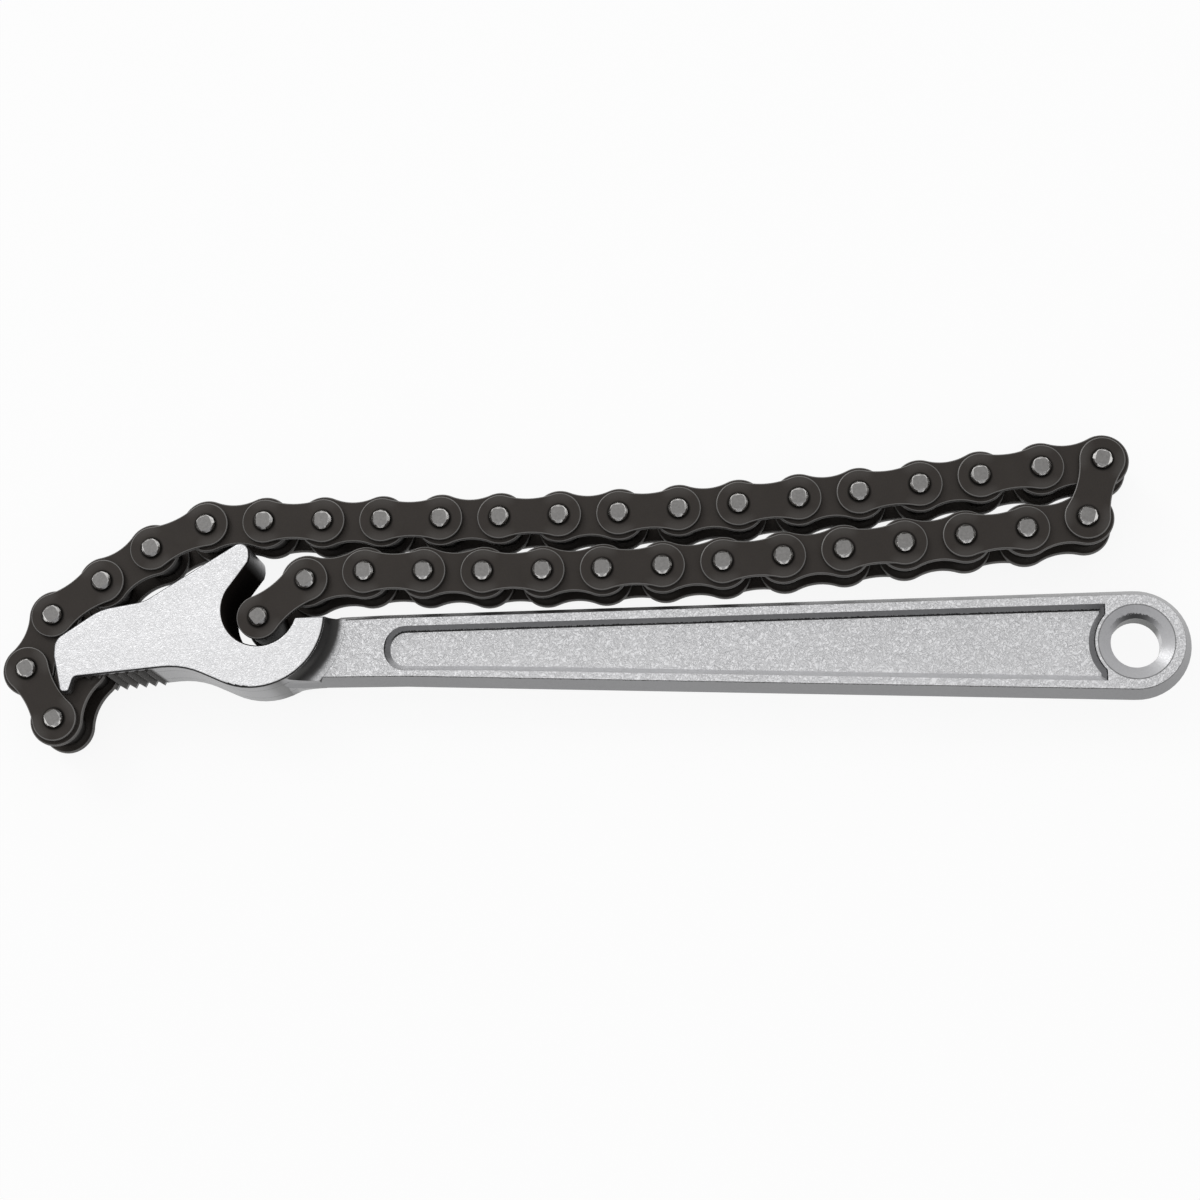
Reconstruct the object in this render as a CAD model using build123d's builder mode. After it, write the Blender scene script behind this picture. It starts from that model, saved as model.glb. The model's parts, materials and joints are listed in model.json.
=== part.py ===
"""Chain wrench for oil filters: a forged handle and hook head with a roller chain laid back along it.

The wrench lies flat on its side. +X runs along the handle towards the hanging hole, +Z is up through its
thickness, and every chain pin stands upright. The chain is at rest as it is stored: it leaves its anchor
in the nose, wraps the nose, runs out along the handle, folds back, and its last pin lies in the hook.
Millimetres.
"""
import os
from math import acos, atan2, cos, degrees, hypot, radians, sin

from build123d import *

# roller chain, 5/8 inch pitch
PITCH = 15.875
LINKS = 36
PIN_DIAMETER = 5.08
PIN_LENGTH = 20.0
PIN_RUNNING_GAP = 0.05
BUSH_DIAMETER = 7.0
ROLLER_DIAMETER = 10.16
ROLLER_RUNNING_GAP = 0.06
INSIDE_WIDTH = 9.65
ROLLER_LENGTH = 9.35
PLATE_THICKNESS = 1.65
PLATE_SIDE_PLAY = 0.10
INNER_PLATE_HEIGHT = 14.0
INNER_PLATE_WAIST = 10.8
OUTER_PLATE_HEIGHT = 11.9
OUTER_PLATE_WAIST = 9.5
STAKE_WIDTH = 4.5
STAKE_HEIGHT = 0.9
STAKE_TURN = 45.0

# heading of each link from its near pin to its far pin, degrees from +X, in order from the nose
NOSE_HEADINGS = [-113.5, 120.7, 66, 34.5, 33.5, 23]
UPPER_HEADINGS = [2, -1, -0.5, 0, 0, 0.5, 0.5, 2.5, 3.5, 4, 4.5, 6, 7, 6.5, 6]
FOLD_HEADING = -106
LOWER_HEADINGS = [
    -170, -175, -174, -175, -175, -176, -177.5, -178.5, -179.5, -180.5, -181.5, -181, -173, -141.5
]

# forging
HEAD_THICKNESS = 20.0
HANDLE_THICKNESS = 10.0
HEAD_EDGE_RADIUS = 0.6
HANDLE_DRAFT = 22.0
ANCHOR = (-135.25, -17.2)
HOOK_CENTRE = (-88.4, -5.5)
HOOK_RADIUS = 19.3
NOTCH_CENTRE = (-86.8, -3.4)
NOTCH_RADIUS = 10.0
HOOK_TIP_RADIUS = 2.6
LIP_TOP = -5.95
SLOT_WIDTH = 13.6
SLOT_RADIUS = 8.0
ANCHOR_PIN_SEAT = 2.0
NECK_COVE_RADIUS = 4.9
RING_CENTRE = (142.3, -16.15)
RING_RADIUS = 14.4
HANGING_HOLE_DIAMETER = 13.0
HANGING_HOLE_RIM_DIAMETER = 19.4
HANGING_HOLE_RIM_DEPTH = 2.0
PANEL_DEPTH = 1.7
PANEL_WALL_SLOPE = 42.0
PANEL_HUB_RADIUS = 10.6

# corners of the head's outline with the radius that rounds each
HEAD_CORNERS = [
    ((-142.0, -15.1), 0),
    ((-141.9, -10.7), 4.0),
    ((-129.8, -2.7), 14.0),
    ((-118.0, -0.77), 8.0),
    ((-90.0, 16.45), 0),
    ((-88.4, -12.1), 0),
    ((-96.25, -23.13), 0),
    ((-107.0, -18.35), 22.0),
    ((-136.2, -20.97), 1.2),
    ((-137.4, -25.0), 1.0),
    ((-139.75, -25.0), 1.2),
]
# the opening that a chain pin passes on its way into the notch
THROAT = [
    (-94.6, 2.9),
    (-90.0, 9.2),
    (-89.7, 10.7),
    (-90.5, 19.9),
    (-56.4, 19.9),
    (-56.4, LIP_TOP),
    (-86.4, LIP_TOP),
]
HOOK_TIP = (-90.3, 16.2)
LIP = (-77.1, LIP_TOP)
LIP_RADIUS = 0.8
HANDLE_BOTTOM_EDGE = [(-80.4, -23.2), (-48.4, -23.4)]
HANDLE_TOP_EDGE = [(-54.4, -3.85), (-66.4, -4.2), (-74.4, -6.3), (-80.4, -16.1)]

NECK_CORNERS = [
    (-86.4, -20.1),
    (-80.4, -22.5),
    (-58.4, -22.1),
    (-58.4, -5.7),
    (-74.4, LIP_TOP),
    (-74.9, -10.1),
    (-86.4, -16.1),
]
PANEL_CORNERS = [
    (-53.9, -8.0),
    (134.6, -6.0),
    (134.6, -26.3),
    (-26.4, -20.4),
    (-53.9, -19.9),
]
PANEL_END_RADIUS = 5.8
SLOT_REACH = 20.0
ANCHOR_PIN_RECESS = 0.4

# jaw teeth
TOOTH_COUNT = 7
TOOTH_PITCH = 2.65
TOOTH_DEPTH = 1.3
TOOTH_STAND = 0.65
TOOTH_STEEP_SHARE = 0.3
JAW_START = (-134.4, -20.81)
JAW_SLOPE = 5.3
JAW_FRONT_RIM = 1.4

MID_HEIGHT = HEAD_THICKNESS / 2
HANDLE_FACE = MID_HEIGHT + HANDLE_THICKNESS / 2
INNER_HALF_WIDTH = INSIDE_WIDTH / 2 + PLATE_THICKNESS
OUTER_GAP_HALF_WIDTH = INNER_HALF_WIDTH + PLATE_SIDE_PLAY
PIN_RADIUS = PIN_DIAMETER / 2
BUSH_RADIUS = BUSH_DIAMETER / 2
HANGING_HOLE_RIM_WIDTH = (HANGING_HOLE_RIM_DIAMETER - HANGING_HOLE_DIAMETER) / 2
HANGING_HOLE_RIM_SLOPE = degrees(atan2(HANGING_HOLE_RIM_WIDTH, HANGING_HOLE_RIM_DEPTH))


def lay_chain():
    """Each pin's place, from the anchor to the free end, and each link's heading."""
    headings = NOSE_HEADINGS + UPPER_HEADINGS + [FOLD_HEADING] + LOWER_HEADINGS
    pins = [ANCHOR]
    for heading in headings:
        x, y = pins[-1]
        pins.append((x + PITCH * cos(radians(heading)), y + PITCH * sin(radians(heading))))
    return pins, headings


def link_plane(pin, heading, height):
    """A level plane with its origin on a pin's axis and its X along the link."""
    x_dir = (cos(radians(heading)), sin(radians(heading)), 0)
    return Plane(origin=(*pin, height), x_dir=x_dir, z_dir=(0, 0, 1))


def plate_outline(height, waist):
    """The waisted outline of a chain plate: two round lobes joined by arcs that touch both."""
    lobe = height / 2
    half_waist = waist / 2
    waist_radius = (PITCH**2 / 4 + half_waist**2 - lobe**2) / (2 * (lobe - half_waist))
    rise = half_waist + waist_radius
    touch_x = lobe * (PITCH / 2) / (lobe + waist_radius)
    touch_y = lobe * rise / (lobe + waist_radius)
    ThreePointArc((touch_x, touch_y), (PITCH / 2, half_waist), (PITCH - touch_x, touch_y))
    ThreePointArc((PITCH - touch_x, touch_y), (PITCH + lobe, 0), (PITCH - touch_x, -touch_y))
    ThreePointArc((PITCH - touch_x, -touch_y), (PITCH / 2, -half_waist), (touch_x, -touch_y))
    ThreePointArc((touch_x, -touch_y), (-lobe, 0), (touch_x, touch_y))


def plate_pair(pin, heading, inside_half_width, height, waist, hole_radius):
    """The two plates of one link, one above and one below the chain's middle."""
    bottoms = [MID_HEIGHT - inside_half_width - PLATE_THICKNESS, MID_HEIGHT + inside_half_width]
    with BuildPart() as plates:
        for bottom in bottoms:
            with BuildSketch(link_plane(pin, heading, bottom)):
                with BuildLine():
                    plate_outline(height, waist)
                make_face()
                with Locations((0, 0), (PITCH, 0)):
                    Circle(hole_radius, mode=Mode.SUBTRACT)
            extrude(amount=PLATE_THICKNESS)
    return plates.part


def ring_pair(pin, heading, outer_radius, inner_radius, length):
    """A tube on each of a link's two pins, centred on the chain's middle."""
    with BuildPart() as rings:
        with BuildSketch(link_plane(pin, heading, MID_HEIGHT)):
            with Locations((0, 0), (PITCH, 0)):
                Circle(outer_radius)
                Circle(inner_radius, mode=Mode.SUBTRACT)
        extrude(amount=length / 2, both=True)
    return rings.part


def touch_point(point, centre, radius, side):
    """Where a line from a point touches a circle; side 1 or -1 picks one of the two."""
    away = atan2(point[1] - centre[1], point[0] - centre[0])
    turn = side * acos(radius / hypot(point[0] - centre[0], point[1] - centre[1]))
    return centre[0] + radius * cos(away + turn), centre[1] + radius * sin(away + turn)


def group(pieces):
    """Separate solids kept apart in one node."""
    return Compound(children=[solid for piece in pieces for solid in piece.solids()])


def finish(piece, label):
    """Name a piece of the chain and write its file."""
    piece.label = label
    export_step(piece, f"parts/{label}.step")


def make_inner_link(pin, heading):
    plates = plate_pair(pin, heading, INSIDE_WIDTH / 2, INNER_PLATE_HEIGHT, INNER_PLATE_WAIST, BUSH_RADIUS)
    bushes = ring_pair(pin, heading, BUSH_RADIUS, PIN_RADIUS + PIN_RUNNING_GAP, 2 * INNER_HALF_WIDTH)
    rollers = ring_pair(
        pin, heading, ROLLER_DIAMETER / 2, BUSH_RADIUS + ROLLER_RUNNING_GAP, ROLLER_LENGTH
    )
    return group([plates, bushes, rollers])


def make_outer_plates(pin, heading):
    return plate_pair(
        pin, heading, OUTER_GAP_HALF_WIDTH, OUTER_PLATE_HEIGHT, OUTER_PLATE_WAIST, PIN_RADIUS
    )


def make_link_pins(pin, heading):
    """The two pins of an outer link, each end staked to four flats."""
    with BuildPart() as pins:
        with BuildSketch(link_plane(pin, heading, MID_HEIGHT)):
            with Locations((0, 0), (PITCH, 0)):
                Circle(PIN_RADIUS)
        extrude(amount=PIN_LENGTH / 2 - STAKE_HEIGHT, both=True)
        for side in (-1, 1):
            stake_plane = link_plane(pin, heading, MID_HEIGHT + side * (PIN_LENGTH / 2 - STAKE_HEIGHT))
            with BuildSketch(stake_plane):
                with Locations((0, 0), (PITCH, 0)):
                    Circle(PIN_RADIUS)
                    Rectangle(STAKE_WIDTH, STAKE_WIDTH, rotation=STAKE_TURN, mode=Mode.INTERSECT)
            extrude(amount=side * STAKE_HEIGHT)
    return pins.part


os.makedirs("parts", exist_ok=True)
pin_places, link_headings = lay_chain()

with BuildPart() as head:
    # nose, jaw and back of the hook, with the hook's round and its notch worked into the same outline
    with BuildSketch() as head_outline:
        with BuildLine():
            Polyline([corner for corner, radius in HEAD_CORNERS], close=True)
        make_face()
        for corner, radius in HEAD_CORNERS:
            if radius:
                fillet(head_outline.vertices().sort_by_distance(corner)[0], radius)
        with Locations(HOOK_CENTRE):
            Circle(HOOK_RADIUS)
        with BuildLine():
            Polyline(THROAT, close=True)
        make_face(mode=Mode.SUBTRACT)
        with Locations(NOTCH_CENTRE):
            Circle(NOTCH_RADIUS, mode=Mode.SUBTRACT)
        fillet(head_outline.vertices().sort_by_distance(HOOK_TIP)[0], HOOK_TIP_RADIUS)
        fillet(head_outline.vertices().sort_by_distance(LIP)[0], LIP_RADIUS)
    extrude(amount=HEAD_THICKNESS)
    faces_flat = head.faces().filter_by(Axis.Z)
    fillet([edge for face in faces_flat for edge in face.edges()], HEAD_EDGE_RADIUS)

with BuildPart() as handle:
    # flat bar, widest on the parting line at half its thickness and drafted towards both faces
    with BuildSketch(Plane.XY.offset(MID_HEIGHT)) as handle_outline:
        bottom_touch = touch_point(HANDLE_BOTTOM_EDGE[-1], RING_CENTRE, RING_RADIUS, 1)
        top_touch = touch_point(HANDLE_TOP_EDGE[0], RING_CENTRE, RING_RADIUS, -1)
        with BuildLine():
            Polyline(*HANDLE_BOTTOM_EDGE, bottom_touch)
            ThreePointArc(bottom_touch, (RING_CENTRE[0] + RING_RADIUS, RING_CENTRE[1]), top_touch)
            Polyline(top_touch, *HANDLE_TOP_EDGE, HANDLE_BOTTOM_EDGE[0])
        make_face()
    extrude(amount=HANDLE_THICKNESS / 2, taper=HANDLE_DRAFT)

    # sunk panel, its far end curved round the ring
    face_down = Plane(origin=(0, 0, HANDLE_FACE), x_dir=(1, 0, 0), z_dir=(0, 0, -1))
    with BuildSketch(face_down) as panel_outline:
        with BuildLine():
            Polyline([(x, -y) for x, y in PANEL_CORNERS], close=True)
        make_face()
        with Locations((RING_CENTRE[0], -RING_CENTRE[1])):
            Circle(PANEL_HUB_RADIUS, mode=Mode.SUBTRACT)
        left_corners = panel_outline.vertices().sort_by(Axis.X)[:2]
        fillet(left_corners, PANEL_END_RADIUS)
    extrude(amount=PANEL_DEPTH, taper=PANEL_WALL_SLOPE, mode=Mode.SUBTRACT)

    # hanging hole with a dished rim
    with BuildSketch(face_down):
        with Locations((RING_CENTRE[0], -RING_CENTRE[1])):
            Circle(HANGING_HOLE_RIM_DIAMETER / 2)
    extrude(amount=HANGING_HOLE_RIM_DEPTH, taper=HANGING_HOLE_RIM_SLOPE, mode=Mode.SUBTRACT)
    with BuildSketch(Plane.XY.offset(MID_HEIGHT)):
        with Locations(RING_CENTRE):
            Circle(HANGING_HOLE_DIAMETER / 2)
    extrude(amount=HANDLE_THICKNESS / 2, mode=Mode.SUBTRACT)

    # both faces are alike
    mirror(about=Plane.XY.offset(MID_HEIGHT))

with BuildPart() as cove:
    # hollow curve from the handle's faces up to the head's faces, turned round the hook's centre
    with BuildSketch(Plane.XZ.offset(-HOOK_CENTRE[1])) as cove_outline:
        with Locations((HOOK_CENTRE[0], MID_HEIGHT)):
            Rectangle(
                HOOK_RADIUS + NECK_COVE_RADIUS,
                HEAD_THICKNESS - 2 * HEAD_EDGE_RADIUS,
                align=(Align.MIN, Align.CENTER),
            )
        cove_x = HOOK_CENTRE[0] + HOOK_RADIUS + NECK_COVE_RADIUS
        with Locations((cove_x, HEAD_THICKNESS), (cove_x, 0)):
            Circle(NECK_COVE_RADIUS, mode=Mode.SUBTRACT)
    revolve(axis=Axis((*HOOK_CENTRE, 0), (0, 0, 1)))
    # only the neck's width of it stays
    with BuildSketch() as neck_outline:
        with BuildLine():
            Polyline(NECK_CORNERS, close=True)
        make_face()
    extrude(amount=HEAD_THICKNESS, mode=Mode.INTERSECT)

with BuildPart() as forging:
    add(head.part)
    add(handle.part)
    add(cove.part)

    # jaw teeth, cut from the back and stopping short of the front face
    jaw = Plane(
        origin=(*JAW_START, 0),
        x_dir=(cos(radians(JAW_SLOPE)), sin(radians(JAW_SLOPE)), 0),
        z_dir=(0, 0, 1),
    )
    root = TOOTH_DEPTH - TOOTH_STAND
    with BuildSketch(jaw):
        with BuildLine():
            Polyline(
                (0, -TOOTH_STAND),
                (0, root),
                (TOOTH_COUNT * TOOTH_PITCH, root),
                (TOOTH_COUNT * TOOTH_PITCH, -TOOTH_STAND),
                close=True,
            )
        make_face()
    extrude(amount=HEAD_THICKNESS - JAW_FRONT_RIM, mode=Mode.SUBTRACT)
    with BuildSketch(jaw):
        for tooth in range(TOOTH_COUNT):
            left = tooth * TOOTH_PITCH
            with BuildLine():
                Polyline(
                    (left, root + TOOTH_DEPTH),
                    (left, root),
                    (left + TOOTH_PITCH * (1 - TOOTH_STEEP_SHARE), -TOOTH_STAND),
                    (left + TOOTH_PITCH, root),
                    (left + TOOTH_PITCH, root + TOOTH_DEPTH),
                    close=True,
                )
            make_face()
    extrude(amount=HEAD_THICKNESS - JAW_FRONT_RIM)
    # slot between two cheeks for the chain's first links, milled through the teeth too
    with BuildSketch(Plane.XY.offset(MID_HEIGHT - SLOT_WIDTH / 2)):
        with Locations(ANCHOR):
            Circle(SLOT_RADIUS)
            Rectangle(SLOT_REACH, 2 * SLOT_REACH, align=(Align.MAX, Align.CENTER))
    extrude(amount=SLOT_WIDTH, mode=Mode.SUBTRACT)
    # blind seat for the anchor pin, drilled from the back cheek and stopping inside the front one
    with BuildSketch():
        with Locations(ANCHOR):
            Circle(PIN_RADIUS)
    extrude(amount=MID_HEIGHT + SLOT_WIDTH / 2 + ANCHOR_PIN_SEAT, mode=Mode.SUBTRACT)

forging.part.label = "forging"
export_step(forging.part, "parts/forging.step")

with BuildPart() as anchor_pin:
    with BuildSketch(Plane.XY.offset(ANCHOR_PIN_RECESS)):
        with Locations(ANCHOR):
            Circle(PIN_RADIUS)
    extrude(amount=MID_HEIGHT + SLOT_WIDTH / 2 + ANCHOR_PIN_SEAT - ANCHOR_PIN_RECESS)
    fillet(anchor_pin.edges().filter_by(GeomType.CIRCLE), ANCHOR_PIN_RECESS)
anchor_pin.part.label = "anchor_pin"
export_step(anchor_pin.part, "parts/anchor_pin.step")

for link in range(1, LINKS + 1):
    near_pin = pin_places[link - 1]
    heading = link_headings[link - 1]
    if link % 2:
        finish(make_inner_link(near_pin, heading), f"inner_link_{link:02d}")
    else:
        finish(make_outer_plates(near_pin, heading), f"outer_plates_{link:02d}")
        finish(make_link_pins(near_pin, heading), f"link_pins_{link:02d}")

# roller on the free pin, which seats in the hook in place of another link
with BuildPart() as end_roller:
    with BuildSketch(Plane.XY.offset(MID_HEIGHT)):
        with Locations(pin_places[-1]):
            Circle(ROLLER_DIAMETER / 2)
            Circle(PIN_RADIUS + PIN_RUNNING_GAP, mode=Mode.SUBTRACT)
    extrude(amount=INNER_HALF_WIDTH, both=True)
end_roller.part.label = "end_roller"
export_step(end_roller.part, "parts/end_roller.step")
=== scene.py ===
import json
from math import atan2, cos, pi, radians, sin

import bmesh
import bpy
from mathutils import Matrix, Vector


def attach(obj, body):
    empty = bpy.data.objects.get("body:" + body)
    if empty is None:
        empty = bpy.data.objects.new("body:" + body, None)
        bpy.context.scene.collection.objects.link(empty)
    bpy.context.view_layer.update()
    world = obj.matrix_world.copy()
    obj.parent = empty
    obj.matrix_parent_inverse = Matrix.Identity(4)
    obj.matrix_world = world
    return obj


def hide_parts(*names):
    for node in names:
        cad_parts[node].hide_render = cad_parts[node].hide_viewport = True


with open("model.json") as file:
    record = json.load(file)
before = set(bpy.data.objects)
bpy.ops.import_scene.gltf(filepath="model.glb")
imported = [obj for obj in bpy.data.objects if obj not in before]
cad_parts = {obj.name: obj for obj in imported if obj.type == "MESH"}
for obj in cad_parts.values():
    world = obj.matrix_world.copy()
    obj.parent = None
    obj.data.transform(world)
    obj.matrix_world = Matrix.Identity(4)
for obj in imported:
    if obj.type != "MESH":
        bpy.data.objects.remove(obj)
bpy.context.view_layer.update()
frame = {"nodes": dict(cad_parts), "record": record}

# Camera. The tool lies flat and is seen almost from straight above, from its handle's lower side and
# turned a little to the left, through a long lens.
MM = 0.001
SENSOR = 36.0
FOCAL_IN_FRAMES = 2.145
CLIP_START = 10 * MM
CLIP_END = 100.0
VIEW_RIGHT = Vector((0.995, 0.0, -0.099)).normalized()
VIEW_UP = Vector((0.022, 0.974, 0.223))
VIEW_UP = (VIEW_UP - VIEW_UP.dot(VIEW_RIGHT) * VIEW_RIGHT).normalized()
VIEW_BACK = VIEW_RIGHT.cross(VIEW_UP)
LOOK_AT = Vector((3.6, -2.1, 15.0)) * MM
CAMERA_DISTANCE = 678.0 * MM

camera_data = bpy.data.cameras.new("camera")
camera_data.sensor_width = SENSOR
camera_data.lens = FOCAL_IN_FRAMES * SENSOR
camera_data.clip_start = CLIP_START
camera_data.clip_end = CLIP_END
camera = bpy.data.objects.new("camera", camera_data)
turn = Matrix((VIEW_RIGHT, VIEW_UP, VIEW_BACK)).transposed().to_4x4()
camera.matrix_world = Matrix.Translation(LOOK_AT + CAMERA_DISTANCE * VIEW_BACK) @ turn
bpy.context.scene.collection.objects.link(camera)
bpy.context.scene.camera = camera
bpy.context.scene.view_settings.view_transform = "Standard"

# Floor. A plain white sweep of board under the tool. Camera, mirror and glass rays see most of it as
# plain white, and the rest is lit, so the tool keeps a faint soft shadow.
FLOOR_RADIUS = 30.0
FLOOR_SIDES = 96
FLOOR_COLOUR = (0.93, 0.93, 0.93, 1)
FLOOR_ROUGHNESS = 0.9
FLOOR_SHADOW_SHARE = 0.10


def new_material(name):
    """A material with a Principled shader and its output, and its node tree."""
    material = bpy.data.materials.new(name)
    material.use_nodes = True
    return material, material.node_tree


def plug(tree, value, socket):
    """Wires a result to a socket, or writes a plain number or colour on it."""
    if isinstance(value, bpy.types.NodeSocket):
        tree.links.new(value, socket)
    else:
        socket.default_value = value


def arithmetic(tree, operation, first, second=None):
    """One step of arithmetic on one value or two."""
    step = tree.nodes.new("ShaderNodeMath")
    step.operation = operation
    plug(tree, first, step.inputs[0])
    if second is not None:
        plug(tree, second, step.inputs[1])
    return step.outputs[0]


def larger(tree, first, second):
    return arithmetic(tree, "MAXIMUM", first, second)


def times(tree, *factors):
    """All the factors multiplied together."""
    result = factors[0]
    for factor in factors[1:]:
        result = arithmetic(tree, "MULTIPLY", result, factor)
    return result


floor_material, tree = new_material("white_board")
board = tree.nodes["Principled BSDF"]
board.inputs["Base Color"].default_value = FLOOR_COLOUR
board.inputs["Roughness"].default_value = FLOOR_ROUGHNESS
glow = tree.nodes.new("ShaderNodeEmission")
ray = tree.nodes.new("ShaderNodeLightPath")
seen = larger(tree, ray.outputs["Is Camera Ray"], ray.outputs["Is Glossy Ray"])
seen = larger(tree, seen, ray.outputs["Is Transmission Ray"])
blend = tree.nodes.new("ShaderNodeMixShader")
plug(tree, times(tree, seen, 1 - FLOOR_SHADOW_SHARE), blend.inputs["Fac"])
plug(tree, board.outputs["BSDF"], blend.inputs[1])
plug(tree, glow.outputs["Emission"], blend.inputs[2])
plug(tree, blend.outputs["Shader"], tree.nodes["Material Output"].inputs["Surface"])

floor_shape = bmesh.new()
bmesh.ops.create_circle(floor_shape, cap_ends=True, segments=FLOOR_SIDES, radius=FLOOR_RADIUS)
floor_mesh = bpy.data.meshes.new("floor")
floor_shape.to_mesh(floor_mesh)
floor_shape.free()
floor_mesh.materials.append(floor_material)
floor = bpy.data.objects.new("floor", floor_mesh)
bpy.context.scene.collection.objects.link(floor)

# Light. A studio tent, white overhead and grey low down and towards its dark front flap, with one large
# soft lamp far off at the upper left.
TENT_LOW = (0.30, 0.30, 0.31, 1)
TENT_HIGH = (0.92, 0.92, 0.92, 1)
TENT_START = 0.05
TENT_END = 0.95
FLAP_TILT = 0.35
BACKDROP = (1, 1, 1, 1)
KEY_PLACE = Vector((-1.3, 1.5, 1.7))
KEY_SIZE = 0.9
KEY_POWER = 12.0


def plus(tree, first, second):
    return arithmetic(tree, "ADD", first, second)


def split(tree, vector):
    """A vector's parts, called by their letters."""
    letters = tree.nodes.new("ShaderNodeSeparateXYZ")
    plug(tree, vector, letters.inputs[0])
    return letters.outputs


def mix_colour(tree, share, first, second):
    """The first colour, with a share of the second."""
    mix = tree.nodes.new("ShaderNodeMix")
    mix.data_type = "RGBA"
    plug(tree, share, mix.inputs["Factor"])
    plug(tree, first, mix.inputs["A"])
    plug(tree, second, mix.inputs["B"])
    return mix.outputs["Result"]


world = bpy.data.worlds.new("studio_tent")
world.use_nodes = True
bpy.context.scene.world = world
tree = world.node_tree
towards = split(tree, tree.nodes.new("ShaderNodeTexCoord").outputs["Generated"])
height = plus(tree, towards["Z"], times(tree, towards["Y"], FLAP_TILT))
tent = tree.nodes.new("ShaderNodeValToRGB")
tent.color_ramp.elements[0].position = TENT_START
tent.color_ramp.elements[0].color = TENT_LOW
tent.color_ramp.elements[1].position = TENT_END
tent.color_ramp.elements[1].color = TENT_HIGH
plug(tree, height, tent.inputs["Fac"])
ray = tree.nodes.new("ShaderNodeLightPath")
sky = mix_colour(tree, ray.outputs["Is Camera Ray"], tent.outputs["Color"], BACKDROP)
plug(tree, sky, tree.nodes["Background"].inputs["Color"])

key_lamp = bpy.data.lights.new("key_lamp", "AREA")
key_lamp.shape = "DISK"
key_lamp.size = KEY_SIZE
key_lamp.energy = KEY_POWER
key_light = bpy.data.objects.new("key_lamp", key_lamp)
key_aim = KEY_PLACE.to_track_quat("Z", "Y").to_matrix().to_4x4()
key_light.matrix_world = Matrix.Translation(KEY_PLACE) @ key_aim
bpy.context.scene.collection.objects.link(key_light)

# Forging. Head, hook and handle are one drop forging in tool steel, blasted and satin plated. Its parting
# line is ground to a smooth band, and a ragged burr is left where the band meets the blasted faces. The
# jaw is darker. Painted light and shade fall on the panel's walls, and painted shade darkens the head's
# edges away from the lamp, the steep cove and the hook's inside, which is painted black.
MIDDLE = 10.0 * MM
HEAD_LEVEL = 10.0 * MM
HANDLE_LEVEL = 5.0 * MM
PANEL_LEVEL = 3.3 * MM
HEAD_STARTS = (7.0 * MM, 9.2 * MM)
PANEL_STARTS = (HANDLE_LEVEL - 0.3 * MM, PANEL_LEVEL + 0.3 * MM)
HANDLE_MIDLINE = -15.0 * MM
HANDLE_START = -62.0 * MM
EDGE_ROUND = 0.32 * MM
ROUND_SEGMENTS = 2
ROUNDED_ANGLE = 38
SMOOTH_ANGLE = 35
LEVEL_NORMAL = 0.999
NORMAL_WEIGHT = 90
MERGE_DISTANCE = 0.002 * MM
SAME_FACE_ANGLE = 0.1
NOTCH = (-86.8 * MM, -3.4 * MM)
NOTCH_REACH = (17.0 * MM, 12.0 * MM)
HOOK = (-88.4 * MM, -5.5 * MM)
HOOK_ROUND = 19.3 * MM
COVE_REACH = (HOOK_ROUND + 9 * MM, HOOK_ROUND + 6 * MM)
COVE_STARTS = (HOOK[0], HOOK[0] + 6 * MM)
COVE_STEEPNESS = (0.05, 0.45)
COVE_TOP = (HEAD_LEVEL + 0.1 * MM, HEAD_LEVEL - 0.4 * MM)
JAW_LEFT = (-138.2 * MM, -137.0 * MM)
JAW_RIGHT = (-114.8 * MM, -115.8 * MM)
JAW_ABOVE = (-16.0 * MM, -17.0 * MM)
JAW_TOP = (HEAD_LEVEL - 0.9 * MM, HEAD_LEVEL - 1.3 * MM)
MOUNTS = {mount["name"]: mount for mount in frame["record"]["mounts"]}
HANGING_HOLE = MOUNTS["hanging_hole"]["pos_m"]
DISH_RADIUS = 9.7 * MM
DISH_ENDS = (DISH_RADIUS + 0.5 * MM, DISH_RADIUS)
DISH_LINE_STARTS = (DISH_RADIUS - 0.15 * MM, DISH_RADIUS + 0.05 * MM)
DISH_LINE_ENDS = (DISH_RADIUS + 0.35 * MM, DISH_RADIUS + 0.15 * MM)
DISH_LINE_SHARE = 0.7
LEVEL_FACE = (0.88, 0.96)
WALL_SLOPE = (0.2, 0.6)
HEAD_SLOPE = (-0.10, -0.45)
EDGE_RAG = 0.9 * MM
HANDLE_BURR = (HANDLE_LEVEL - 0.38 * MM, HANDLE_LEVEL - 0.2 * MM)
HANDLE_BURR_TOP = (HANDLE_LEVEL + 0.04 * MM, HANDLE_LEVEL)
HEAD_EDGE_SHADE = (HEAD_LEVEL - 0.8 * MM, HEAD_LEVEL - 0.5 * MM)
FOOT_SHADE = (PANEL_LEVEL + 0.55 * MM, PANEL_LEVEL + 0.35 * MM)
HEAD_COLOUR = (0.80, 0.80, 0.81, 1)
FACE_COLOUR = (0.72, 0.72, 0.73, 1)
PANEL_COLOUR = (0.70, 0.70, 0.71, 1)
BAND_COLOUR = (0.27, 0.27, 0.275, 1)
LIT_WALL_COLOUR = (0.70, 0.70, 0.71, 1)
SHADED_WALL_COLOUR = (0.30, 0.30, 0.305, 1)
COVE_SHADE_COLOUR = (0.050, 0.049, 0.048, 1)
DISH_COLOUR = (0.60, 0.60, 0.61, 1)
DARK_LINE_COLOUR = (0.035, 0.035, 0.035, 1)
HOOK_SHADE_COLOUR = (0.014, 0.012, 0.011, 1)
JAW_COLOUR = (0.050, 0.047, 0.044, 1)
JAW_BLACK_SHARE = 0.6
PEEL_SCALE = 1100.0
WORM_SCALE = 950.0
WORM_TWIST = 2.2
TRACK_EDGES = (0.36, 0.64)
TRACK_SHARE = 0.55
FINE_SCALE = 3000.0
PATCH_SCALE = 55.0
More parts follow.
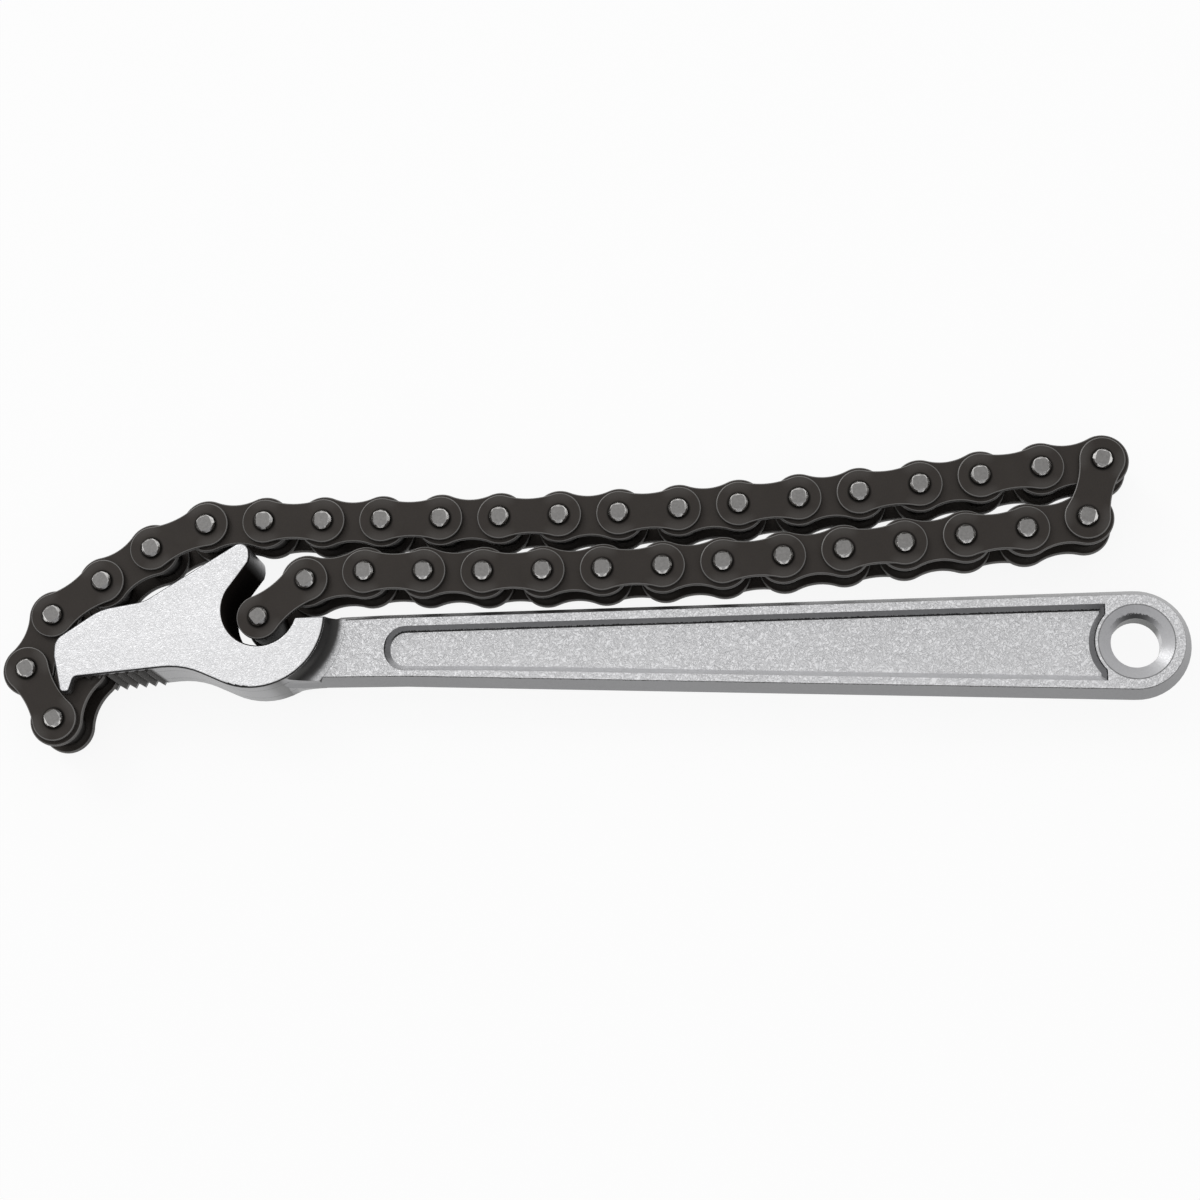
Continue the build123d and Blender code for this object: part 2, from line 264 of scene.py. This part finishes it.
MOTTLE_SHARE = 0.12
SIDE_PITS = 0.10
FACE_PITS = 0.38
HEAD_PITS_LESS = 0.28
PLATED_METAL = 0.85
PLATED_SPECULAR = 0.5
BAND_ROUGHNESS = 0.34
BLASTED_ROUGHNESS = 0.12
BLACK_ROUGHNESS = 0.3
GRAIN_DEPTH = 0.16 * MM
SIDE_RELIEF = 0.05
HEAD_RELIEF_LESS = 0.45


def minus(tree, first, second):
    return arithmetic(tree, "SUBTRACT", first, second)


def rest_of(tree, share):
    """What a share leaves of the whole."""
    return minus(tree, 1.0, share)


def absolute(tree, value):
    return arithmetic(tree, "ABSOLUTE", value)


def ramp(tree, value, low, high):
    """0 at low and 1 at high, with a soft step between; low may be the larger of the two."""
    step = tree.nodes.new("ShaderNodeMapRange")
    step.interpolation_type = "SMOOTHSTEP"
    step.inputs["From Min"].default_value = min(low, high)
    step.inputs["From Max"].default_value = max(low, high)
    step.inputs["To Min"].default_value = 0.0 if low < high else 1.0
    step.inputs["To Max"].default_value = 1.0 if low < high else 0.0
    plug(tree, value, step.inputs["Value"])
    return step.outputs["Result"]


def noise(tree, place, scale, detail=2.0, distortion=0.0):
    texture = tree.nodes.new("ShaderNodeTexNoise")
    texture.inputs["Scale"].default_value = scale
    texture.inputs["Detail"].default_value = detail
    texture.inputs["Distortion"].default_value = distortion
    plug(tree, place, texture.inputs["Vector"])
    return texture.outputs["Fac"]


def distance_from(tree, at, centre):
    """Distance in plan from a point."""
    across = minus(tree, at["X"], centre[0])
    along = minus(tree, at["Y"], centre[1])
    squares = plus(tree, times(tree, across, across), times(tree, along, along))
    return arithmetic(tree, "SQRT", squares)


def darkened_by(tree, colour, change):
    """A colour made lighter or darker by a small share."""
    vary = tree.nodes.new("ShaderNodeHueSaturation")
    plug(tree, colour, vary.inputs["Color"])
    plug(tree, change, vary.inputs["Value"])
    return vary.outputs["Color"]


def add_bump(tree, height, strength, depth):
    """A relief on the shader's normal."""
    bump = tree.nodes.new("ShaderNodeBump")
    bump.inputs["Distance"].default_value = depth
    plug(tree, strength, bump.inputs["Strength"])
    plug(tree, height, bump.inputs["Height"])
    plug(tree, bump.outputs["Normal"], tree.nodes["Principled BSDF"].inputs["Normal"])


def make_forged_steel():
    """Satin plate on blasted faces and ground sides, with dark burrs and a dark jaw, and painted light and
    shade on walls, edges, cove and hook.
    """
    material, tree = new_material("forged_satin_steel")
    place = tree.nodes.new("ShaderNodeTexCoord")
    at = split(tree, place.outputs["Object"])
    facing = split(tree, place.outputs["Normal"])
    level = absolute(tree, minus(tree, at["Z"], MIDDLE))
    is_flat = ramp(tree, absolute(tree, facing["Z"]), *LEVEL_FACE)
    not_flat = rest_of(tree, is_flat)

    # grain of the flat faces: orange peel on the head, worm tracks on the handle and in its panel
    peel = noise(tree, place.outputs["Object"], PEEL_SCALE, detail=3.0, distortion=0.6)
    worms = noise(tree, place.outputs["Object"], WORM_SCALE, distortion=WORM_TWIST)
    fine = noise(tree, place.outputs["Object"], FINE_SCALE)
    patch = noise(tree, place.outputs["Object"], PATCH_SCALE, detail=3.0)
    on_head = ramp(tree, level, *HEAD_STARTS)
    on_panel = ramp(tree, level, *PANEL_STARTS)
    handle_colour = mix_colour(tree, on_panel, FACE_COLOUR, PANEL_COLOUR)
    flat_colour = mix_colour(tree, on_head, handle_colour, HEAD_COLOUR)

    # the panel's lower wall shines, and its upper wall and the handle's top edge are in the shade
    below_midline = ramp(tree, at["Y"], HANDLE_MIDLINE + MM, HANDLE_MIDLINE - MM)
    above_midline = rest_of(tree, below_midline)
    on_handle = ramp(tree, at["X"], HANDLE_START, HANDLE_START + MM)
    faces_up = ramp(tree, facing["Y"], WALL_SLOPE[0], WALL_SLOPE[1])
    faces_down = ramp(tree, facing["Y"], -WALL_SLOPE[0], -WALL_SLOPE[1])
    lit_wall = times(tree, faces_up, below_midline, on_handle)
    upper_wall = times(tree, faces_down, above_midline, on_handle)
    shaded_wall = times(tree, larger(tree, faces_up, faces_down), above_midline, on_handle)
    from_hole = distance_from(tree, at, HANGING_HOLE)
    in_dish = ramp(tree, from_hole, *DISH_ENDS)
    side_colour = mix_colour(tree, lit_wall, BAND_COLOUR, LIT_WALL_COLOUR)
    side_colour = mix_colour(tree, shaded_wall, side_colour, SHADED_WALL_COLOUR)
    side_colour = mix_colour(tree, in_dish, side_colour, DISH_COLOUR)

    # ragged dark lines like torn scale: burr where a blasted face meets a smooth side, and painted shade
    # on the head's edges that face away from the lamp and at the foot of the panel's upper wall
    ragged = plus(tree, level, times(tree, minus(tree, worms, 0.5), EDGE_RAG))
    handle_burr = times(
        tree,
        ramp(tree, ragged, *HANDLE_BURR),
        ramp(tree, level, *HANDLE_BURR_TOP),
        rest_of(tree, in_dish),
        rest_of(tree, lit_wall),
        rest_of(tree, upper_wall),
    )
    painted_foot_shade = times(tree, ramp(tree, ragged, *FOOT_SHADE), upper_wall)
    faces_near = ramp(tree, facing["Y"], *HEAD_SLOPE)
    faces_right = ramp(tree, facing["X"], *WALL_SLOPE)
    head_edge_shade = times(tree, ramp(tree, ragged, *HEAD_EDGE_SHADE), larger(tree, faces_near, faces_right))
    burr_and_shade_lines = larger(tree, larger(tree, handle_burr, head_edge_shade), painted_foot_shade)
    side_colour = mix_colour(tree, times(tree, burr_and_shade_lines, not_flat), side_colour, DARK_LINE_COLOUR)
    colour = mix_colour(tree, is_flat, side_colour, flat_colour)

    # painted shade darkens the steep cove between head and handle, and a thin dark line rings the hole's
    # dish
    painted_cove_shade = times(
        tree,
        ramp(tree, facing["X"], *COVE_STEEPNESS),
        ramp(tree, distance_from(tree, at, HOOK), *COVE_REACH),
        ramp(tree, at["X"], *COVE_STARTS),
        ramp(tree, level, *COVE_TOP),
    )
    dish_line = times(
        tree,
        ramp(tree, from_hole, *DISH_LINE_STARTS),
        ramp(tree, from_hole, *DISH_LINE_ENDS),
        DISH_LINE_SHARE,
    )
    colour = mix_colour(tree, painted_cove_shade, colour, COVE_SHADE_COLOUR)
    colour = mix_colour(tree, dish_line, colour, DARK_LINE_COLOUR)

    # the jaw is dark, and the hook's inside is painted black as shade
    in_notch = times(tree, ramp(tree, distance_from(tree, at, NOTCH), *NOTCH_REACH), not_flat)
    in_jaw = times(
        tree,
        ramp(tree, at["X"], *JAW_RIGHT),
        ramp(tree, at["Y"], *JAW_ABOVE),
        ramp(tree, level, *JAW_TOP),
        ramp(tree, at["X"], *JAW_LEFT),
    )
    black = larger(tree, in_notch, times(tree, in_jaw, JAW_BLACK_SHARE))
    colour = mix_colour(tree, in_jaw, colour, JAW_COLOUR)
    colour = mix_colour(tree, in_notch, colour, HOOK_SHADE_COLOUR)

    # lighter crests and darker pits in the grain, and a faint mottle over all of it
    tracks = ramp(tree, worms, *TRACK_EDGES)
    grain = plus(tree, times(tree, tracks, TRACK_SHARE), times(tree, peel, 1 - TRACK_SHARE))
    pit_share = times(tree, is_flat, minus(tree, FACE_PITS, times(tree, on_head, HEAD_PITS_LESS)))
    pits = times(tree, minus(tree, grain, 0.5), plus(tree, SIDE_PITS, pit_share))
    mottle = times(tree, minus(tree, plus(tree, patch, fine), 1.0), MOTTLE_SHARE)
    colour = darkened_by(tree, colour, plus(tree, 1.0, plus(tree, pits, mottle)))

    shader = tree.nodes["Principled BSDF"]
    bright = rest_of(tree, black)
    roughness = plus(tree, BAND_ROUGHNESS, times(tree, is_flat, BLASTED_ROUGHNESS))
    roughness = plus(tree, roughness, times(tree, black, BLACK_ROUGHNESS))
    plug(tree, colour, shader.inputs["Base Color"])
    plug(tree, times(tree, bright, PLATED_METAL), shader.inputs["Metallic"])
    plug(tree, times(tree, bright, PLATED_SPECULAR), shader.inputs["Specular IOR Level"])
    plug(tree, roughness, shader.inputs["Roughness"])
    relief = times(tree, is_flat, rest_of(tree, times(tree, on_head, HEAD_RELIEF_LESS)))
    add_bump(tree, grain, plus(tree, SIDE_RELIEF, relief), GRAIN_DEPTH)
    return material


def add_piece(name, mesh, sharp_angle):
    """An object at the origin, smooth but for its level faces and the edges sharper than the angle."""
    mesh.shade_smooth()
    mesh.set_sharp_from_angle(angle=radians(sharp_angle))
    for face in mesh.polygons:
        face.use_smooth = abs(face.normal.z) < LEVEL_NORMAL
    piece = bpy.data.objects.new(name, mesh)
    bpy.context.scene.collection.objects.link(piece)
    return piece


def applied(piece, name):
    """The piece's mesh with its modifiers in it, as a new mesh."""
    bpy.context.view_layer.update()
    evaluated = piece.evaluated_get(bpy.context.evaluated_depsgraph_get())
    mesh = bpy.data.meshes.new_from_object(evaluated)
    mesh.name = name
    return mesh


nodes = frame["nodes"]
forged_shape = bmesh.new()
forged_shape.from_mesh(nodes["forging"].data)
bmesh.ops.remove_doubles(forged_shape, verts=forged_shape.verts, dist=MERGE_DISTANCE)
bmesh.ops.dissolve_limit(
    forged_shape, angle_limit=radians(SAME_FACE_ANGLE), verts=forged_shape.verts, edges=forged_shape.edges
)
forged_mesh = bpy.data.meshes.new("wrench_forging")
forged_shape.to_mesh(forged_mesh)
forged_shape.free()
wrench_forging = add_piece("wrench_forging", forged_mesh, SMOOTH_ANGLE)
rounding = wrench_forging.modifiers.new("rounding", "BEVEL")
rounding.width = EDGE_ROUND
rounding.segments = ROUND_SEGMENTS
rounding.limit_method = "ANGLE"
rounding.angle_limit = radians(ROUNDED_ANGLE)
level_normals = wrench_forging.modifiers.new("level_normals", "WEIGHTED_NORMAL")
level_normals.keep_sharp = True
level_normals.weight = NORMAL_WEIGHT
rounded_mesh = applied(wrench_forging, "wrench_forging")
wrench_forging.modifiers.clear()
wrench_forging.data = rounded_mesh
rounded_mesh.materials.clear()
rounded_mesh.materials.append(make_forged_steel())
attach(wrench_forging, "forging")
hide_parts("forging")

# Chain. A roller chain is anchored in the nose, laid round it, run out beside the handle, folded back and
# parked in the hook. Its pins' places are read from the solids, and one node tree sets a link's pieces out
# between two of them: a plate above and below the middle, and two barrels, one in the other, at each pin.
PITCH = 15.875 * MM


def middle_of(points):
    """The middle of the smallest upright box round some points in plan."""
    low = Vector((min(point.x for point in points), min(point.y for point in points)))
    high = Vector((max(point.x for point in points), max(point.y for point in points)))
    return (low + high) / 2


bodies = frame["record"]["behaviour"]["bodies"]
body_of = {node: body for body, members in bodies.items() for node in members}
pins = [middle_of([vertex.co.xy for vertex in nodes["anchor_pin"].data.vertices])]
for node in sorted(name for name in nodes if name.startswith("link_pins_")):
    points = [vertex.co.xy for vertex in nodes[node].data.vertices]
    near = middle_of([point for point in points if (point - points[0]).length < PITCH / 2])
    far = middle_of([point for point in points if (point - points[0]).length > PITCH / 2])
    if abs((far - pins[-1]).length - PITCH) < abs((near - pins[-1]).length - PITCH):
        near, far = far, near
    pins += [near, far]
links = list(enumerate(zip(pins, pins[1:]), start=1))

link_tree = bpy.data.node_groups.new("set_out_link", "GeometryNodeTree")
socket_ids = {}
for name, kind in (
    ("Plate", "NodeSocketObject"), ("Barrel", "NodeSocketObject"), ("Sleeve", "NodeSocketObject"),
    ("Plate Height", "NodeSocketFloat"), ("Pitch", "NodeSocketFloat"),
    ("Near Pin", "NodeSocketVector"), ("Heading", "NodeSocketFloat"), ("Steel", "NodeSocketMaterial"),
):
    socket_ids[name] = link_tree.interface.new_socket(name, in_out="INPUT", socket_type=kind).identifier
link_tree.interface.new_socket("Geometry", in_out="OUTPUT", socket_type="NodeSocketGeometry")
given = link_tree.nodes.new("NodeGroupInput")
result = link_tree.nodes.new("NodeGroupOutput")
joined = link_tree.nodes.new("GeometryNodeJoinGeometry")


def offset_by(x=0.0, y=0.0, z=0.0):
    """A vector from its parts."""
    combine = link_tree.nodes.new("ShaderNodeCombineXYZ")
    for axis, value in (("X", x), ("Y", y), ("Z", z)):
        plug(link_tree, value, combine.inputs[axis])
    return combine.outputs[0]


def place_copy(source, offset):
    """The named object, moved by an offset and added to the link."""
    info = link_tree.nodes.new("GeometryNodeObjectInfo")
    info.transform_space = "ORIGINAL"
    plug(link_tree, given.outputs[source], info.inputs["Object"])
    points = link_tree.nodes.new("GeometryNodePoints")
    plug(link_tree, offset, points.inputs["Position"])
    copy = link_tree.nodes.new("GeometryNodeInstanceOnPoints")
    plug(link_tree, points.outputs[0], copy.inputs["Points"])
    plug(link_tree, info.outputs["Geometry"], copy.inputs["Instance"])
    plug(link_tree, copy.outputs["Instances"], joined.inputs[0])


place_copy("Plate", offset_by(z=given.outputs["Plate Height"]))
place_copy("Plate", offset_by(z=times(link_tree, given.outputs["Plate Height"], -1.0)))
for source in ("Barrel", "Sleeve"):
    place_copy(source, offset_by())
    place_copy(source, offset_by(x=given.outputs["Pitch"]))
swing = link_tree.nodes.new("GeometryNodeTransform")
plug(link_tree, joined.outputs[0], swing.inputs["Geometry"])
plug(link_tree, given.outputs["Near Pin"], swing.inputs["Translation"])
plug(link_tree, offset_by(z=given.outputs["Heading"]), swing.inputs["Rotation"])
real = link_tree.nodes.new("GeometryNodeRealizeInstances")
plug(link_tree, swing.outputs[0], real.inputs[0])
steel = link_tree.nodes.new("GeometryNodeSetMaterial")
plug(link_tree, real.outputs[0], steel.inputs["Geometry"])
plug(link_tree, given.outputs["Steel"], steel.inputs["Material"])
plug(link_tree, steel.outputs[0], result.inputs[0])


def set_out(node, near, far, plate, barrel, sleeve, plate_height, material):
    """One link's pieces as one plain mesh, on the body of the solid that they stand for."""
    name = f"{node}_steel"
    piece = bpy.data.objects.new(name, bpy.data.meshes.new(name))
    bpy.context.scene.collection.objects.link(piece)
    setting = piece.modifiers.new("set_out", "NODES")
    setting.node_group = link_tree
    setting[socket_ids["Plate"]] = plate
    setting[socket_ids["Barrel"]] = barrel
    setting[socket_ids["Sleeve"]] = sleeve
    setting[socket_ids["Plate Height"]] = plate_height
    setting[socket_ids["Pitch"]] = PITCH
    setting[socket_ids["Near Pin"]] = (near.x, near.y, MIDDLE)
    setting[socket_ids["Heading"]] = atan2(far.y - near.y, far.x - near.x)
    setting[socket_ids["Steel"]] = material
    plain = applied(piece, name)
    piece.modifiers.clear()
    piece.data = plain
    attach(piece, body_of[node])
    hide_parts(node)
    return piece


# Inner links. Each is two waisted plates pressed on two bushes, with a loose roller round each bush. The
# plates are blanked from strip, tumbled and blued, and their rounded rims are painted lighter as a
# highlight.
PLATE_THICKNESS = 1.65 * MM
PLATE_EDGE = 0.30 * MM
PLATE_SMOOTH_ANGLE = 18
INNER_LOBE = 7.0 * MM
INNER_WAIST = 10.8 * MM
INSIDE_HALF_WIDTH = 4.825 * MM
BUSH_RADIUS = 3.5 * MM
BUSH_BORE = 2.59 * MM
BUSH_EDGE = 0.12 * MM
ROLLER_RADIUS = 5.08 * MM
ROLLER_BORE = 3.56 * MM
ROLLER_HALF_LENGTH = 4.675 * MM
ROLLER_EDGE = 0.5 * MM
TURNED_SMOOTH_ANGLE = 30
ARC_STEPS = 14
HOLE_STEPS = 28
RING_STEPS = 32
PLATE_COLOUR = (0.042, 0.037, 0.0335, 1)
RIM_HIGHLIGHT_COLOUR = (0.17, 0.165, 0.16, 1)
SHEEN_COLOUR = (0.110, 0.105, 0.100, 1)
SHEEN_SHARE = 0.32
SHEEN_SIDES = (0.55, 1.0)
SHEEN_STARTS = (0.17, 0.33)
SHEEN_ENDS = (0.40, 0.35)
RIM_STARTS = (0.25, 0.45)
RIM_ENDS = (0.985, 0.96)
RIM_FROM_PIN = (0.26, 0.30)
PIN_SHADE_RING = (0.215, 0.175)
PIN_SHADE_SHARE = 0.75
OIL_SCALE = 160.0
SPECK_SCALE = 3200.0
TURNED_RING_SCALE = 46.0
PLATE_LIGHTNESS = 0.78
PLATE_VARIATION = 0.24
PLATE_METAL = 0.5
PLATE_SPECULAR = 0.12
PLATE_ROUGHNESS = 0.36
PLATE_ROUGHNESS_VARIATION = 0.10
PLATE_RELIEF = 0.25
PLATE_RELIEF_DEPTH = 0.02 * MM


def arc(centre, radius, start, end, steps):
    """Points along an arc, without its last one."""
    return [
        (centre[0] + radius * cos(start + (end - start) * step / steps),
         centre[1] + radius * sin(start + (end - start) * step / steps))
        for step in range(steps)
    ]


def plate_edge(lobe, waist):
    """The plate's waisted outline, two lobes and two arcs that touch them, counterclockwise."""
    half = waist / 2
    hollow = (PITCH**2 / 4 + half**2 - lobe**2) / (2 * (lobe - half))
    reach = half + hollow
    touch = atan2(reach, PITCH / 2)
    right = arc((PITCH, 0), lobe, touch - pi, pi - touch, 3 * ARC_STEPS)
    top = arc((PITCH / 2, reach), hollow, -touch, touch - pi, ARC_STEPS)
    left = arc((0, 0), lobe, touch, 2 * pi - touch, 3 * ARC_STEPS)
    bottom = arc((PITCH / 2, -reach), hollow, pi - touch, touch, ARC_STEPS)
    return right + top + left + bottom


def blank_plate(name, lobe, waist, hole):
    """A plate with both its edges and its two holes rounded, lying about z 0."""
    curve = bpy.data.curves.new(name, "CURVE")
    curve.dimensions = "2D"
    curve.fill_mode = "BOTH"
    curve.extrude = PLATE_THICKNESS / 2 - PLATE_EDGE
    curve.bevel_depth = PLATE_EDGE
    curve.bevel_resolution = 1
    curve.offset = -PLATE_EDGE
    near_hole = arc((0, 0), hole, 0, 2 * pi, HOLE_STEPS)
    far_hole = arc((PITCH, 0), hole, 0, 2 * pi, HOLE_STEPS)
    for outline in (plate_edge(lobe, waist), near_hole, far_hole):
        spline = curve.splines.new("POLY")
        spline.points.add(len(outline) - 1)
        for point, (x, y) in zip(spline.points, outline):
            point.co = (x, y, 0, 1)
        spline.use_cyclic_u = True
    blank = bpy.data.objects.new(name, curve)
    bpy.context.scene.collection.objects.link(blank)
    mesh = applied(blank, name)
    bpy.data.objects.remove(blank)
    shape = bmesh.new()
    shape.from_mesh(mesh)
    bmesh.ops.remove_doubles(shape, verts=shape.verts, dist=MERGE_DISTANCE / 2)
    bmesh.ops.recalc_face_normals(shape, faces=shape.faces)
    along = shape.loops.layers.uv.new("plate_map")
    for face in shape.faces:
        for loop in face.loops:
            loop[along].uv = (loop.vert.co.x / PITCH, loop.vert.co.y / PITCH)
    shape.to_mesh(mesh)
    shape.free()
    return add_piece(name, mesh, PLATE_SMOOTH_ANGLE)


def turned(name, outer, bore, half_length, edge):
    """A tube turned about Z, with its outer corners broken."""
    profile = [
        (bore, -half_length), (outer - edge, -half_length), (outer, -half_length + edge),
        (outer, half_length - edge), (outer - edge, half_length), (bore, half_length),
    ]
    shape = bmesh.new()
    rings = []
    for step in range(RING_STEPS):
        angle = 2 * pi * step / RING_STEPS
        rings.append([shape.verts.new((r * cos(angle), r * sin(angle), z)) for r, z in profile])
    for here, there in zip(rings, rings[1:] + rings[:1]):
        for row in range(len(profile)):
            after = (row + 1) % len(profile)
            shape.faces.new((here[row], there[row], there[after], here[after]))
    bmesh.ops.recalc_face_normals(shape, faces=shape.faces)
    mesh = bpy.data.meshes.new(name)
    shape.to_mesh(mesh)
    shape.free()
    return add_piece(name, mesh, TURNED_SMOOTH_ANGLE)


def make_blued_steel():
    """Oiled, blued steel: painted highlights on the rims, a faint painted sheen and a painted shade ring
    round each pin.
    """
    material, tree = new_material("blued_plate_steel")
    place = tree.nodes.new("ShaderNodeTexCoord")
    flat_map = tree.nodes.new("ShaderNodeUVMap")
    flat_map.uv_map = "plate_map"
    across = split(tree, flat_map.outputs["UV"])
    facing = split(tree, place.outputs["Normal"])
    flatness = absolute(tree, facing["Z"])

    # distance from the nearer pin, in pitches
    from_middle = absolute(tree, minus(tree, across["X"], 0.5))
    to_pin = minus(tree, from_middle, 0.5)
    squares = plus(tree, times(tree, to_pin, to_pin), times(tree, across["Y"], across["Y"]))
    distance = arithmetic(tree, "SQRT", squares)
    turned_rings = noise(tree, distance, TURNED_RING_SCALE, detail=3.0)
    oil = noise(tree, place.outputs["Object"], OIL_SCALE, detail=4.0, distortion=0.6)
    speck = noise(tree, place.outputs["Object"], SPECK_SCALE)

    # the small addend keeps the quotient finite at the pin's centre
    sideways = arithmetic(tree, "DIVIDE", absolute(tree, across["Y"]), plus(tree, distance, 0.01))
    # painted sheen on the lobes above and below each pin
    sheen = times(
        tree,
        ramp(tree, sideways, *SHEEN_SIDES),
        ramp(tree, distance, *SHEEN_STARTS),
        ramp(tree, distance, *SHEEN_ENDS),
    )
    # painted highlight on the plates' rounded rims, away from the holes
    rim_highlight = times(
        tree,
        ramp(tree, flatness, *RIM_STARTS),
        ramp(tree, flatness, *RIM_ENDS),
        ramp(tree, distance, *RIM_FROM_PIN),
    )
    # painted shade round each pin; the rollers, bushes and end roller have no plate map, so they read as
    # lying at a pin's centre and are painted in shade all over
    painted_pin_shade = ramp(tree, distance, *PIN_SHADE_RING)
    colour = mix_colour(tree, times(tree, sheen, SHEEN_SHARE), PLATE_COLOUR, SHEEN_COLOUR)
    colour = mix_colour(tree, rim_highlight, colour, RIM_HIGHLIGHT_COLOUR)
    lightness = plus(tree, PLATE_LIGHTNESS, times(tree, plus(tree, oil, speck), PLATE_VARIATION))
    lightness = times(tree, lightness, rest_of(tree, times(tree, painted_pin_shade, PIN_SHADE_SHARE)))
    roughness = times(tree, plus(tree, turned_rings, oil), PLATE_ROUGHNESS_VARIATION)

    shader = tree.nodes["Principled BSDF"]
    plug(tree, darkened_by(tree, colour, lightness), shader.inputs["Base Color"])
    shader.inputs["Metallic"].default_value = PLATE_METAL
    shader.inputs["Specular IOR Level"].default_value = PLATE_SPECULAR
    plug(tree, plus(tree, PLATE_ROUGHNESS, roughness), shader.inputs["Roughness"])
    add_bump(tree, plus(tree, turned_rings, speck), PLATE_RELIEF, PLATE_RELIEF_DEPTH)
    return material


BLUED_STEEL = make_blued_steel()
inner_plate = blank_plate("inner_plate_blank", INNER_LOBE, INNER_WAIST, BUSH_RADIUS)
bush = turned("bush_blank", BUSH_RADIUS, BUSH_BORE, INSIDE_HALF_WIDTH + PLATE_THICKNESS, BUSH_EDGE)
roller = turned("roller_blank", ROLLER_RADIUS, ROLLER_BORE, ROLLER_HALF_LENGTH, ROLLER_EDGE)
for link, (near, far) in links[::2]:
    inner = set_out(
        f"inner_link_{link:02d}", near, far, inner_plate, roller, bush,
        INSIDE_HALF_WIDTH + PLATE_THICKNESS / 2, BLUED_STEEL,
    )
for blank in (inner_plate, bush, roller):
    bpy.data.objects.remove(blank)

# Outer plates. Two plates, smaller than the inner ones and of the same blued strip, are pressed on a
# link's two pins, outside the inner plates of the links before and after.
OUTER_LOBE = 5.95 * MM
OUTER_WAIST = 9.5 * MM
OUTER_GAP_HALF_WIDTH = 6.575 * MM
PIN_RADIUS = 2.54 * MM

outer_plate = blank_plate("outer_plate_blank", OUTER_LOBE, OUTER_WAIST, PIN_RADIUS)
for link, (near, far) in links[1::2]:
    plates = set_out(
        f"outer_plates_{link:02d}", near, far, outer_plate, None, None,
        OUTER_GAP_HALF_WIDTH + PLATE_THICKNESS / 2, BLUED_STEEL,
    )
bpy.data.objects.remove(outer_plate)

# Link pins. Two round pins of bright ground steel hold an outer link's plates. Both ends stand proud of
# the plates and are squeezed to a rounded square, so that the plates can't come off.
PIN_HALF_LENGTH = 10.0 * MM
PIN_BODY_END = 9.15 * MM
PIN_RIM = 9.78 * MM
PIN_FLAT = 2.0 * MM
PIN_RIM_BREAK = 0.22 * MM
PIN_CORNER_STAND = 0.3 * MM
PIN_SMOOTH_ANGLE = 24
PIN_COLOUR = (0.74, 0.73, 0.71, 1)
PIN_END_COLOUR = (0.22, 0.215, 0.21, 1)
PIN_END = (0.85, 0.97)
PIT_SCALE = 1500.0
PIN_LIGHTNESS = 0.70
PIN_VARIATION = 0.6
PIN_METAL = 1.0
PIN_ROUGHNESS = 0.22
PIN_END_ROUGHNESS = 0.2
PIN_RELIEF = 0.3
PIN_RELIEF_DEPTH = 0.04 * MM


def staked_pin(name):
    """A round pin whose two ends are squeezed to a rounded square."""
    levels = [(PIN_BODY_END, PIN_RADIUS), (PIN_RIM, PIN_FLAT), (PIN_HALF_LENGTH, PIN_FLAT - PIN_RIM_BREAK)]
    levels = [(-height, half_flat) for height, half_flat in levels[::-1]] + levels
    shape = bmesh.new()
    rings = []
    for height, half_flat in levels:
        ring = []
        for step in range(RING_STEPS):
            angle = 2 * pi * step / RING_STEPS
            to_side = half_flat / max(abs(cos(angle)), abs(sin(angle)))
            radius = min(to_side, half_flat + PIN_CORNER_STAND, PIN_RADIUS)
            ring.append(shape.verts.new((radius * cos(angle), radius * sin(angle), height)))
        rings.append(ring)
    for low, high in zip(rings, rings[1:]):
        for step in range(RING_STEPS):
            after = (step + 1) % RING_STEPS
            shape.faces.new((low[step], low[after], high[after], high[step]))
    shape.faces.new(rings[0][::-1])
    shape.faces.new(rings[-1])
    mesh = bpy.data.meshes.new(name)
    shape.to_mesh(mesh)
    shape.free()
    return add_piece(name, mesh, PIN_SMOOTH_ANGLE)


def make_pin_steel():
    """Bright ground pin steel, greyer on its squeezed ends."""
    material, tree = new_material("bright_pin_steel")
    place = tree.nodes.new("ShaderNodeTexCoord")
    facing = split(tree, place.outputs["Normal"])
    is_end = ramp(tree, absolute(tree, facing["Z"]), *PIN_END)
    pits = noise(tree, place.outputs["Object"], PIT_SCALE, detail=4.0, distortion=0.8)
    colour = mix_colour(tree, is_end, PIN_COLOUR, PIN_END_COLOUR)
    lightness = plus(tree, PIN_LIGHTNESS, times(tree, pits, PIN_VARIATION))
    roughness = plus(tree, PIN_ROUGHNESS, times(tree, is_end, PIN_END_ROUGHNESS))
    shader = tree.nodes["Principled BSDF"]
    plug(tree, darkened_by(tree, colour, lightness), shader.inputs["Base Color"])
    shader.inputs["Metallic"].default_value = PIN_METAL
    plug(tree, roughness, shader.inputs["Roughness"])
    add_bump(tree, pits, PIN_RELIEF, PIN_RELIEF_DEPTH)
    return material


PIN_STEEL = make_pin_steel()
pin = staked_pin("pin_blank")
for link, (near, far) in links[1::2]:
    link_pins = set_out(f"link_pins_{link:02d}", near, far, None, pin, None, 0.0, PIN_STEEL)
bpy.data.objects.remove(pin)

# Anchor pin and end roller. The anchor pin is a plain ground pin pressed through both cheeks of the nose,
# and the end roller turns on the chain's last pin, where it seats in the hook. Both keep their solids.
# the end roller has no plate map, so the blued steel paints it in shade all over
for name, material in (("anchor_pin", PIN_STEEL), ("end_roller", BLUED_STEEL)):
    nodes[name].data.materials.clear()
    nodes[name].data.materials.append(material)
